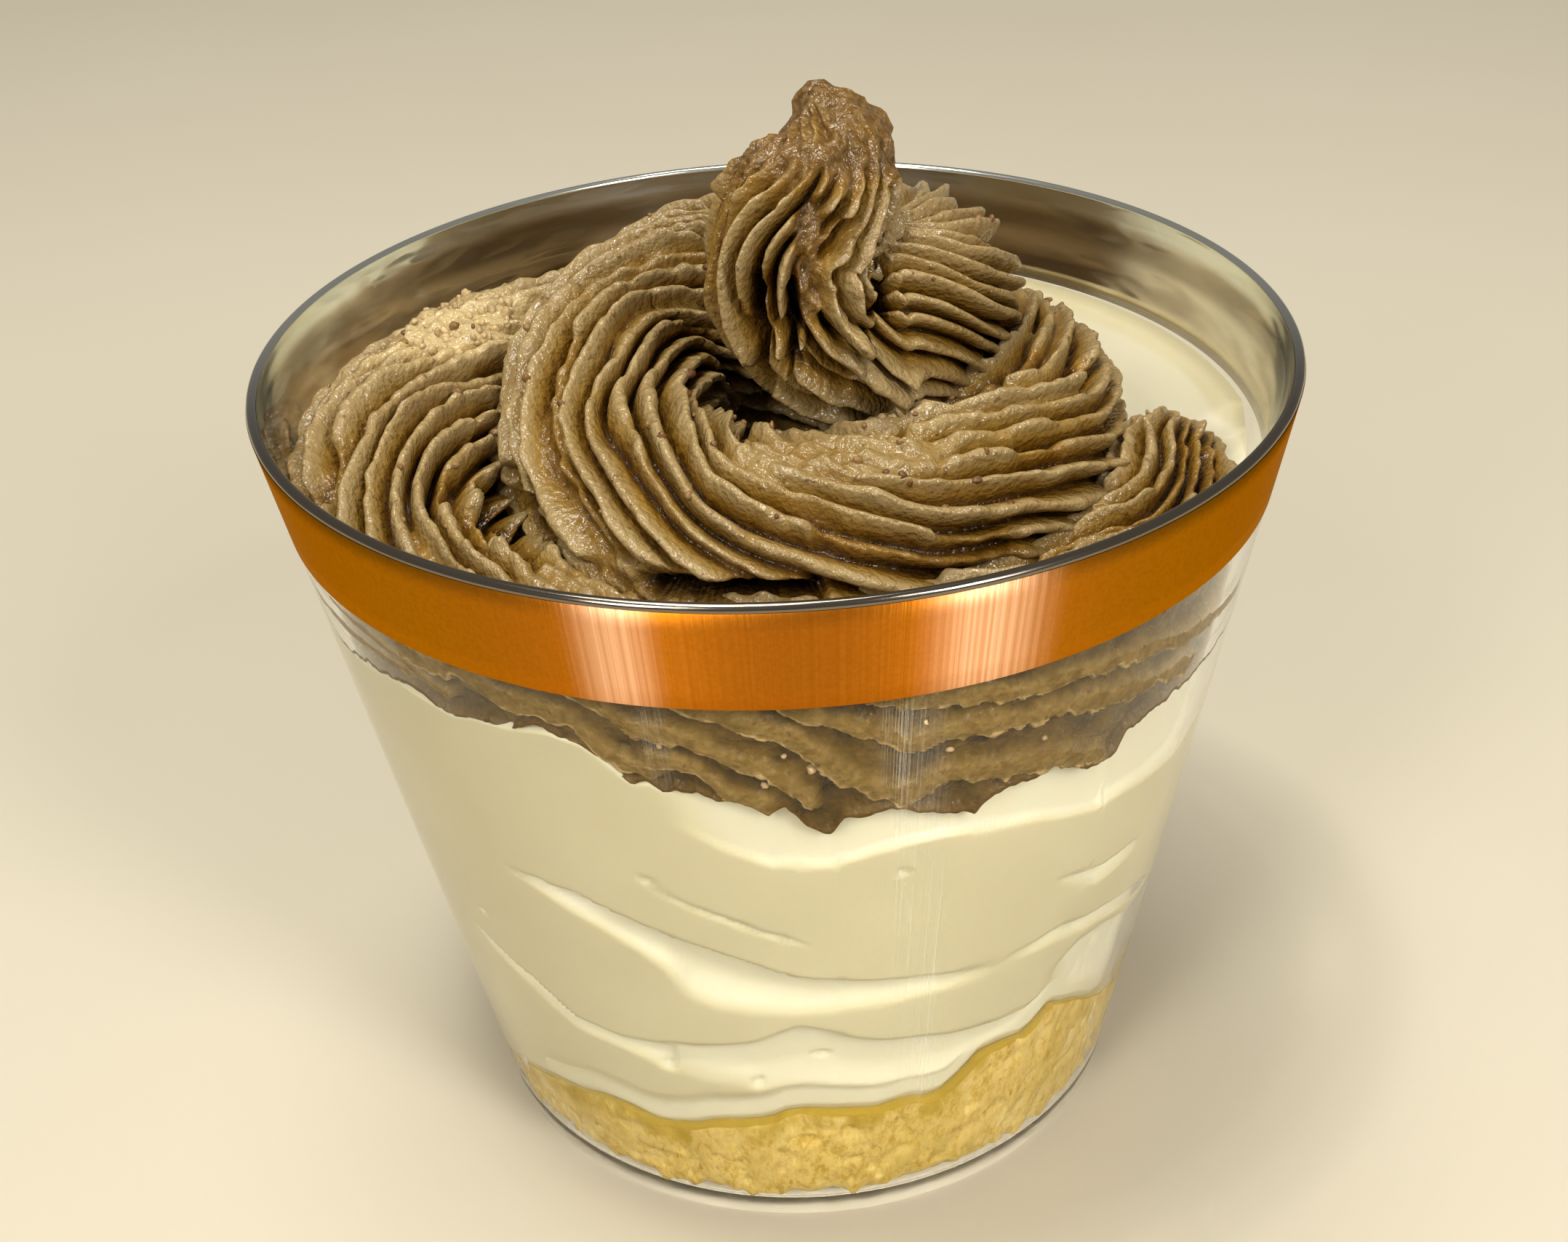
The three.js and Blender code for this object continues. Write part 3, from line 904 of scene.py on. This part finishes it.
def polarShell(settings, lowAt, highAt, radiusAt):
    # rows of loops: bottom from the middle out, up the side, and back in over the top
    azimuths = directions(settings)
    reach = np.linspace(0, 1, settings["rings"] + 1)[1:-1]
    low, high = lowAt(azimuths, 1.0), highAt(azimuths, 1.0)
    lowRadius, highRadius = radiusAt(azimuths, low), radiusAt(azimuths, high)
    heights = [blended(low, high, share) for share in np.linspace(0, 1, settings["sideRows"])]
    loops = [around(share * lowRadius, azimuths, lowAt(azimuths, share)) for share in reach]
    loops += [around(radiusAt(azimuths, z), azimuths, z) for z in heights]
    loops += [around(share * highRadius, azimuths, highAt(azimuths, share)) for share in reach[::-1]]
    bottom, top = ([0, 0, np.mean(heightAt(azimuths, 0.0))] for heightAt in (lowAt, highAt))
    return np.array(loops), bottom, top


def spongeEdge(azimuths):
    wavy = 0.5 * lumps(around(sponge["edgeRadius"], azimuths), 2.5, 3)
    return aroundWall(sponge["edge"], azimuths) + wavy


def spongeBottom(azimuths, reach):
    return np.full_like(azimuths, cup["floorTop"] + sponge["floorGap"])


def spongeTop(azimuths, reach):
    return blended(sponge["top"], spongeEdge(azimuths), reach**2)


def spongeRadius(azimuths, z):
    # the foot is crumbly and tucks in from the wall
    crumbly = layered(around(sponge["lumpRadius"], azimuths), sponge["seed"] + 5, (1, 1.6), (0.6, 0.7))
    tuck = np.exp(-np.maximum(z - cup["floorTop"], 0) / np.maximum(0.7 + 0.55 * crumbly, 0.15))
    return innerAt(z) + sponge["wallBite"] - sponge["tuck"] * tuck


crumb, wire, place = startMaterial("spongeCrumb")
# the crumb stands a little taller than wide
place = wire.node("ShaderNodeMapping", None, {"Vector": place, "Scale": (1.0, 1.0, 0.5)})
pores = grain(wire, place, 1500.0, 5.0, 0.72)
tufts = grain(wire, place, 430.0, 5.0, 0.75).between(0.42, 0.6)
soaked = readField(wire, "soaked")
damp = 0.25 * grain(wire, place, 210.0, 3.0, 0.6).between(0.5, 0.66)
damp = damp + 0.7 * soaked * grain(wire, place, 260.0).between(0.42, 0.6)
pinholes = grain(wire, place, 900.0, 1.0).between(0.7, 0.74)
cake = pores.between(0.36, 0.6).mixColours(linear(186, 151, 62), linear(213, 184, 104))
layers = [
    (tufts * 0.4, (218, 193, 122)),
    (damp, (172, 143, 34)),
    # damp, and painted shade: the top and ledge under the cream are painted darker
    (soaked.between(1.1, 1.8), (158, 130, 40)),
    (pinholes * 0.5, (146, 112, 30)),
]
inputs = {
    "Base Color": overlaid(cake, layers),
    "Roughness": 1.0,
    "Normal": bumped(wire, pores, 0.45, 0.0004),
    "Specular IOR Level": 0.05,
    **softly(0.25, (1.0, 0.7, 0.3), 0.0015),
}
finishPrincipled(wire, inputs)

loops, bottom, top = polarShell(sponge, spongeBottom, spongeTop, spongeRadius)
inward = unit(loops * np.array([-1, -1, 0]))
upright = loops * np.array([1, 1, 0.55])
pit = 0
for step, (deep, wide) in enumerate(sponge["pits"]):
    pit = pit + deep * eased(0.1, 0.7, lumps(upright, wide, sponge["seed"] + step))
loops = loops + inward * pit[..., None]
lastSideRow = sponge["rings"] - 1 + sponge["sideRows"] - 1
loops[lastSideRow + 2 :, :, 2] -= 0.6 * pit[lastSideRow + 2 :]
# damp under the cream, and most of all on the ledge that carries it, which is also painted darker as
# painted shade under the cream's roll
soaked = eased(3.4, 0.8, spongeEdge(directions(sponge)) - loops[..., 2])
soaked[lastSideRow:] = 2.0
cappedPiece("spongeCake", loops, bottom, top, crumb, "sponge_cake", "sponge", {"soaked": soaked})
print("sponge ready")

# whipped cream

whipped = {
    "segments": 500,
    "sideRows": 140,
    "rings": 18,
    "top": 60.9,
    "dip": 2.4,
    "wallBite": 0.14,
    "overSponge": -0.2,
    "lumpRadius": 36.0,
    "topRadius": 38.0,
    # the rim stands this much above the chestnut cream's edge where that is low enough to be seen
    "rimRise": 2.0,
    "rimHeights": (60.2, 57.0),
    "rimFrom": 0.78,
    # the middle is pressed down, and more so where the edge is low
    "middleDip": 8,
    "sag": 7,
    "sagHeights": (60.0, 54.0),
    # hollows that stand off the glass: upper line, lower line and depth by direction, then the share
    # of its height that the upper edge takes, and how fluffy it is
    "hollows": [
        (
            [
                (-130.5, 38.6), (-123, 38.6), (-118.7, 38.4), (-109, 36.5), (-99.8, 34), (-90.5, 31.5),
                (-80.7, 30.2), (-70, 29.1), (-61, 28.6),
            ],
            [
                (-130.5, 38.4), (-125.8, 37.7), (-121.7, 36.3), (-116.6, 35), (-111.8, 33.4),
                (-108.2, 31.4), (-105.5, 28), (-100.9, 26.8), (-90.7, 26.5), (-82.7, 26.8),
                (-70, 26.9), (-61, 27.2),
            ],
            [(-131, 0.0), (-125, 0.9), (-112, 1.8), (-100, 2.0), (-88, 1.1), (-75, 0.7), (-61, 0.0)],
            0.1, 0.0,
        ),
        (
            [(-146, 27.6), (-142.3, 26.6), (-133.3, 24.8), (-126, 21.6), (-118, 21.4), (-110, 22)],
            [(-146, 27.2), (-142.3, 25.6), (-133.3, 23), (-126, 20.2), (-118, 19.6), (-110, 18)],
            [(-147, 0.0), (-140, 0.6), (-128, 0.7), (-118, 0.5), (-110, 0.8)],
            0.2, 0.0,
        ),
        (
            [
                (-118, 21.4), (-110, 22.4), (-101.6, 23), (-98, 23.4), (-90.8, 25.8), (-80.5, 23.4),
                (-69, 21.4), (-55.8, 20.5), (-50.7, 22.6),
            ],
            [
                (-118, 20.2), (-114, 18.9), (-107, 17.6), (-102.4, 17.4), (-95.8, 16.6), (-85.8, 15.6),
                (-75.3, 14), (-68, 14.6), (-57.5, 16.2), (-50.7, 19.6),
            ],
            [(-118, 0.0), (-108, 0.5), (-98, 0.9), (-85, 1.2), (-70, 1.2), (-58, 1.0), (-50, 0.6)],
            0.15, 0.0,
        ),
        (
            [(-51, 25), (-46, 26.5), (-40, 26), (-32, 24), (-20, 24)],
            [(-51, 20), (-46, 18), (-40, 15.5), (-32, 13.5), (-20, 13)],
            [(-52, 0.0), (-46, 0.8), (-36, 1.0), (-26, 0.8), (-18, 0.0)],
            0.25, 0.35,
        ),
        (
            [(-62, 29.2), (-51.8, 29.4), (-43.3, 28.4), (-25, 25)],
            [(-62, 28.2), (-51.8, 27.6), (-43.3, 26.6), (-25, 23.4)],
            [(-62, 0.0), (-54, 0.5), (-45, 0.6), (-30, 0.4), (-24, 0.0)],
            0.15, 0.0,
        ),
        (
            [(-109, 41.7), (-99.2, 38.4), (-89, 35.8)],
            [(-109, 41.1), (-99.2, 37.7), (-89, 35.2)],
            [(-109, 0.0), (-106, 0.25), (-100, 0.4), (-92, 0.35), (-89, 0.0)],
            0.1, 0.0,
        ),
        (
            [(-55, 36.2), (-45.9, 34.2), (-36, 33.8)],
            [(-55, 35.4), (-45.9, 32.2), (-36, 31.8)],
            [(-55, 0.0), (-49, 0.7), (-42, 0.8), (-36, 0.0)],
            0.1, 0.0,
        ),
        (
            [(20, 40), (40, 38.5), (65, 36), (90, 35)],
            [(20, 39.6), (40, 36.5), (65, 33), (90, 34.2)],
            [(20, 0.0), (35, 0.9), (60, 1.4), (80, 0.8), (90, 0.0)],
            0.12, 0.0,
        ),
        (
            [(70, 27), (95, 25), (120, 24.5), (150, 26)],
            [(70, 26.4), (95, 22.6), (120, 21.4), (150, 25.4)],
            [(70, 0.0), (85, 0.8), (110, 1.3), (135, 0.7), (150, 0.0)],
            0.12, 0.0,
        ),
        (
            [(110, 46), (130, 44.5), (155, 44)],
            [(110, 45.4), (130, 42.8), (155, 43.4)],
            [(110, 0.0), (130, 0.7), (155, 0.0)],
            0.1, 0.0,
        ),
        (
            [(-15, 33), (5, 31), (30, 30.5)],
            [(-15, 32.4), (5, 29.3), (30, 30)],
            [(-15, 0.0), (5, 0.6), (30, 0.0)],
            0.12, 0.0,
        ),
    ],
    # the trough just under the chestnut cream: its lower line and its depth by direction
    "troughLine": [
        (-112, 53), (-108.7, 50.6), (-104.5, 48.6), (-101.3, 47.3), (-98.2, 45.8), (-93.2, 44.3),
        (-89.8, 44.1), (-85.6, 43.8), (-81.3, 44.7), (-76.9, 45.2), (-72.5, 45.2), (-62.6, 44),
        (-49.9, 41.4), (-44.5, 41.6), (-32.3, 40.8), (-20, 43), (-10, 50),
    ],
    "troughDepth": [(-105, 0.0), (-100, 0.6), (-93, 1.2), (-60, 1.5), (-35, 1.6), (-15, 0.8), (-8, 0.0)],
    # how far the lowest roll curls off the glass
    "footRoll": [
        (-150, 0.0), (-130, 0.25), (-115, 0.6), (-100, 0.8), (-60, 0.8), (-48, 0.4), (-30, 0.3),
        (-10, 0.0), (40, 0.5), (80, 0.2), (120, 0.7), (160, 0.0),
    ],
    # small nicks and bubbles on the glass: direction, height, half width in degrees, half height, depth
    "nicks": [
        (-108.5, 41.8, 1.1, 0.5, 0.4), (-111.4, 19.0, 1.3, 0.6, 0.5), (-87.9, 20.8, 1.6, 0.55, 0.5),
        (-97.6, 18.0, 1.2, 0.7, 0.5), (-77.6, 42.3, 0.9, 0.6, 0.4), (-140, 30, 1.2, 0.5, 0.4),
        (-20, 36, 1.2, 0.5, 0.4), (35, 24, 1.4, 0.6, 0.5), (78, 44, 1.1, 0.5, 0.4),
        (100, 18.5, 1.5, 0.7, 0.5), (150, 34, 1.2, 0.5, 0.4),
    ],
    "seed": 51,
}


def creamEdge(azimuths):
    # the rim of the cream: just above the chestnut cream's edge, and free at the back
    edge = aroundWall(chestnutEdge, azimuths)
    return edge + whipped["rimRise"] * eased(*whipped["rimHeights"], edge)


def creamBottom(azimuths, reach):
    return spongeTop(azimuths, reach) + whipped["overSponge"]


def creamTop(azimuths, reach):
    edge = creamEdge(azimuths)
    here = around(whipped["topRadius"] * reach, azimuths)
    dip = whipped["dip"] + 0.5 * lumps(here, 9.0, whipped["seed"] + 4)
    dip = dip + whipped["middleDip"] * eased(0.5, 0.2, reach)
    middleHeight = whipped["top"] - dip - whipped["sag"] * eased(*whipped["sagHeights"], edge)
    return blended(middleHeight, edge, eased(whipped["rimFrom"], 1.0, reach))


def creamHollow(azimuths, z):
    # how far the cream stands off the glass
    seed = whipped["seed"]
    here = around(whipped["lumpRadius"], azimuths, z)
    waver = layered(here, seed, (0.35, 6.0), (0.12, 2.0))
    fluff = layered(here, seed + 6, (1, 2.4), (0.8, 1.2))
    total = np.zeros_like(z)
    for upperLine, lowerLine, depth, lip, fluffy in whipped["hollows"]:
        upper, lower = (aroundWall(line, azimuths) + waver for line in (upperLine, lowerLine))
        down = (upper - z) / np.maximum(upper - lower, 0.2)
        shape = eased(0.0, lip, down) * (1 - eased(0.45, 1.0, down))
        total = np.maximum(total, onStretch(depth, azimuths) * shape * (1 + fluffy * fluff))
    for direction, height, wide, tall, deep in whipped["nicks"]:
        gone = np.hypot((azimuths - direction) / wide, (z - height) / tall)
        total = total + deep * eased(1.0, 0.3, gone)
    # the lowest roll curls off the glass where it rests on the sponge
    overSponge = z - spongeEdge(azimuths)
    rolled = aroundWall(whipped["footRoll"], azimuths) * eased(4.8, 2.4, overSponge + waver)
    total = np.maximum(total, rolled + 0.3 * eased(0.9, 0.0, overSponge))
    edge = aroundWall(chestnutEdge, azimuths)
    line = aroundWall(whipped["troughLine"], azimuths) + waver
    climb = (z - line) / np.maximum(edge - line, 0.8)
    ledge = 0.45 * eased(0.0, 0.14, climb) + 0.55 * np.clip(climb, 0, 1)
    trough = onStretch(whipped["troughDepth"], azimuths) * ledge
    above = (2.4 * eased(0.0, 0.9, z - edge) + 1.6 * np.maximum(z - edge, 0)) * eased(60.2, 58.0, edge)
    return total + trough + above


def creamRadius(azimuths, z):
    return innerAt(z) + whipped["wallBite"] - creamHollow(azimuths, z)


cream, wire, place = startMaterial("whippedCream")
soft = grain(wire, place, 60.0).between(0.35, 0.65)
# painted light: the cream is painted darker where it touches the glass and lighter where it stands off it
# in a hollow
contactShade = soft.mixColours(linear(199, 189, 152), linear(204, 194, 157))
inputs = {
    "Base Color": readField(wire, "hollow").between(0.0, 0.5).mixColours(contactShade, linear(209, 202, 173)),
    "Roughness": 0.45,
    **softly(0.35, (1.0, 0.8, 0.5), 0.0025),
    "Normal": bumped(wire, grain(wire, place, 1200.0), 0.1, 0.0002),
}
finishPrincipled(wire, inputs)
loops, bottom, top = polarShell(whipped, creamBottom, creamTop, creamRadius)
standOff = innerAt(loops[..., 2]) - np.hypot(loops[..., 0], loops[..., 1])
# painted shade: the top is left out of the hollow share, so it keeps the darker colour
standOff = np.clip(standOff * eased(60.5, 58.5, loops[..., 2]), 0, 3)
node = "whipped_cream"
cappedPiece("creamBody", loops, bottom, top, cream, node, node, {"hollow": standOff})
print("cream ready")

# cup and foil


def turned(profile):
    # a profile of radius and height, turned about the upright axis
    profile = np.array(profile)
    azimuths = np.arange(cup["segments"]) * 360 / cup["segments"]
    return around(profile[:, :1], azimuths, profile[:, 1:])


def lipArc(radius, first, last, count):
    # over the rounded lip, between two slopes in degrees
    slopes = np.radians(np.linspace(first, last, count))
    return [(lipMiddle + radius * np.cos(slope), lipHeight + radius * np.sin(slope)) for slope in slopes]


plastic, wire, place = startMaterial("clearPlastic")
clear = (0.985, 0.99, 0.985, 1.0)
inputs = {"Base Color": clear, "Roughness": 0.02, "IOR": 1.2, "Transmission Weight": 1.0}
glassy = principled(wire, inputs)
# painted highlight: a pale rough layer mixed in at two fixed directions stands in for the lamps' streaks on
# the scuffed plastic
hazeAndSheen = principled(wire, {"Base Color": (1.0, 0.97, 0.86, 1.0), "Roughness": 0.4})
facing = compass(wire, place)
height = along(wire, place, 2)
down = (cup["scuffTop"] - height) / cup["scuffLength"]
scuffsAndSheen = 0.0
for top, bottom, reach, share, lowest in cup["scuffsAndSheen"]:
    gone = (facing - top - (bottom - top) * down).absolute() / reach
    scuffsAndSheen = scuffsAndSheen + share * (1 - gone.between(0.2, 1.0)) * height.between(lowest, lowest + 0.006)
lines = streaks(wire, facing, 3.4, 4.0, 0.8).between(0.52, 0.68)
scuffsAndSheen = scuffsAndSheen * (0.06 + 1.4 * lines) * (1 - height.between(*cup["scuffFade"]))
scuffSheened = wire.node("ShaderNodeMixShader", None, {0: scuffsAndSheen, 1: glassy, 2: hazeAndSheen})
opening = wire.node("ShaderNodeBsdfTransparent", None, {"Color": (0.97, 0.97, 0.96, 1.0)})
shadowRay = wire.node("ShaderNodeLightPath", None, None, 1)
finishMaterial(wire, wire.node("ShaderNodeMixShader", None, {0: shadowRay, 1: scuffSheened, 2: opening}))

lipHeight = cup["height"] - cup["lip"]
lipMiddle = outerAt(lipHeight) - cup["lip"]
base = cup["baseRadius"]
foot = base - cup["footWidth"]
under = cup["floorUnderside"]
over = cup["floorTop"]
# from the middle of the floor's underside, over the foot ring, up the wall and back down inside
cupProfile = [(0.8, under), (foot - 0.5, under), (foot, 0.4), (foot + 0.25, 0.06), (foot + 0.45, 0.0)]
cupProfile += [(base - 0.55, 0.0), (base - 0.2, 0.12), (outerAt(0.5), 0.5)]
cupProfile += [(outerAt(z), z) for z in np.linspace(1.2, lipHeight - 0.1, 30)]
cupProfile += lipArc(cup["lip"], 0, 180, 12)
cupProfile += [(innerAt(z) + 0.4 * eased(66.0, 69.6, z), z) for z in np.linspace(lipHeight - 0.2, 2.6, 40)]
cupProfile += [(innerAt(2.0) - 0.05, 2.1), (innerAt(1.8) - 0.3, 1.75), (innerAt(1.6) - 0.7, 1.55)]
cupProfile += [(innerAt(1.5) - 1.2, over), (0.8, over)]
cappedPiece("cupShell", turned(cupProfile), [0, 0, under], [0, 0, over], plastic, "clear_cup", "cup")

foil = {
    "low": 60.8,
    "high": 69.5,
    # how far the lining stands off the wall, how thick both are, and how far the band stands off that
    "lining": 0.02,
    "skin": 0.04,
    "apart": 0.01,
    # two painted highlights at the front, paler streaks on the brushed foil where the lamps shine:
    # direction and half width in degrees
    "sheenStreaks": [(-106.5, 5.5), (-70.5, 8.5)],
    # heights on the lining in metres: a dark line, the pale lip above it, and its shaded front
    "darkLine": 0.0662,
    "paleLip": (0.0672, 0.0682),
    "shadedLip": (0.0685, 0.0692),
}


def ringPiece(name, outline, material):
    ring = turned(outline)
    rows, count = ring.shape[:2]
    quads = ringFaces(rows + 1, count) % (rows * count)  # the last loop joins the first
    noTriangles = np.zeros((0, 3), int)
    return makePiece(name, ring.reshape(-1, 3), quads, noTriangles, material, "rim_band")


def upWall(inset, top, count):
    return [(outerAt(z) + inset, z) for z in np.linspace(foil["low"], top, count)]


def overLip(inset):
    # up the outside of the wall and over the rounded lip
    return upWall(inset, lipHeight - 0.1, 8) + lipArc(cup["lip"] + inset, 10, 165, 14)


copper, wire, place = startMaterial("copperFoil")
facing = compass(wire, place)
lines = streaks(wire, facing, 1.7, 3.0, 0.7)
speck = grain(wire, place, 2600.0)
copperColour = lines.between(0.3, 0.7).mixColours((0.575, 0.172, 0.009, 1.0), (0.645, 0.205, 0.014, 1.0))
sideways = (facing + 90.0).absolute().between(15.0, 45.0)
copperColour = sideways.mixColours(copperColour, (0.61, 0.24, 0.008, 1.0))
copperColour = (0.35 * speck.between(0.35, 0.7)).mixColours(copperColour, (0.46, 0.15, 0.006, 1.0))
# painted highlight: paler copper at two fixed directions
for direction, reach in foil["sheenStreaks"]:
    gone = (facing - direction).absolute() / reach
    sheen = (1.0 - gone.between(0.1, 1.0)) * (0.55 + 0.45 * lines.between(0.35, 0.65))
    copperColour = sheen.mixColours(copperColour, (1.0, 0.57, 0.32, 1.0))
inputs = {
    "Base Color": copperColour,
    "Metallic": 1.0,
    "Roughness": 0.42 + 0.08 * lines,
    "Anisotropic": 0.9,
    "Anisotropic Rotation": 0.25,
    "Specular Tint": (0.95, 0.6, 0.2, 1.0),
    "Normal": bumped(wire, lines + 0.3 * speck, 0.05, 0.0002),
}
finishPrincipled(wire, inputs)

silver, wire, place = startMaterial("silverLining")
hazeAndSheen = grain(wire, place, 80.0)
height = along(wire, place, 2)
stretched = wire.node("ShaderNodeMapping", None, {"Vector": place, "Scale": (0.22, 0.22, 1.0)})
# the foil's crinkles, and a painted reflection: darker brown upright streaks stand in for the swirl seen in
# the mirror-like lining
wavesAndReflections = grain(wire, stretched, 330.0).between(0.38, 0.64)
lining = wavesAndReflections.mixColours((0.74, 0.66, 0.53, 1.0), (0.42, 0.34, 0.235, 1.0))
darkLine = 1 - (height - foil["darkLine"]).absolute().between(0.0004, 0.0016)
lining = (0.7 * darkLine).mixColours(lining, (0.3, 0.24, 0.16, 1.0))
lining = height.between(*foil["paleLip"]).mixColours(lining, (0.82, 0.82, 0.76, 1.0))
towardFront = (0.012 - along(wire, place, 1)).between(0.0, 0.03)
shaded = towardFront * height.between(*foil["shadedLip"])
lining = shaded.mixColours(lining, (0.225, 0.19, 0.15, 1.0))
inputs = {
    "Base Color": lining,
    "Metallic": 1.0,
    "Roughness": 0.09 + 0.14 * hazeAndSheen,
    "Normal": bumped(wire, wavesAndReflections, 0.05, 0.002),
}
finishPrincipled(wire, inputs)

# each is closed by its outer side, taken downward, and its inner side
liningOut = foil["lining"] + foil["skin"]
bandIn = liningOut + foil["apart"]
bandOut = bandIn + foil["skin"]
band = upWall(bandOut, foil["high"], 6)[::-1] + upWall(bandIn, foil["high"], 6)
ringPiece("foilBand", band, copper)
ringPiece("foilLining", overLip(liningOut)[::-1] + overLip(foil["lining"]), silver)
print("cup and foil ready")
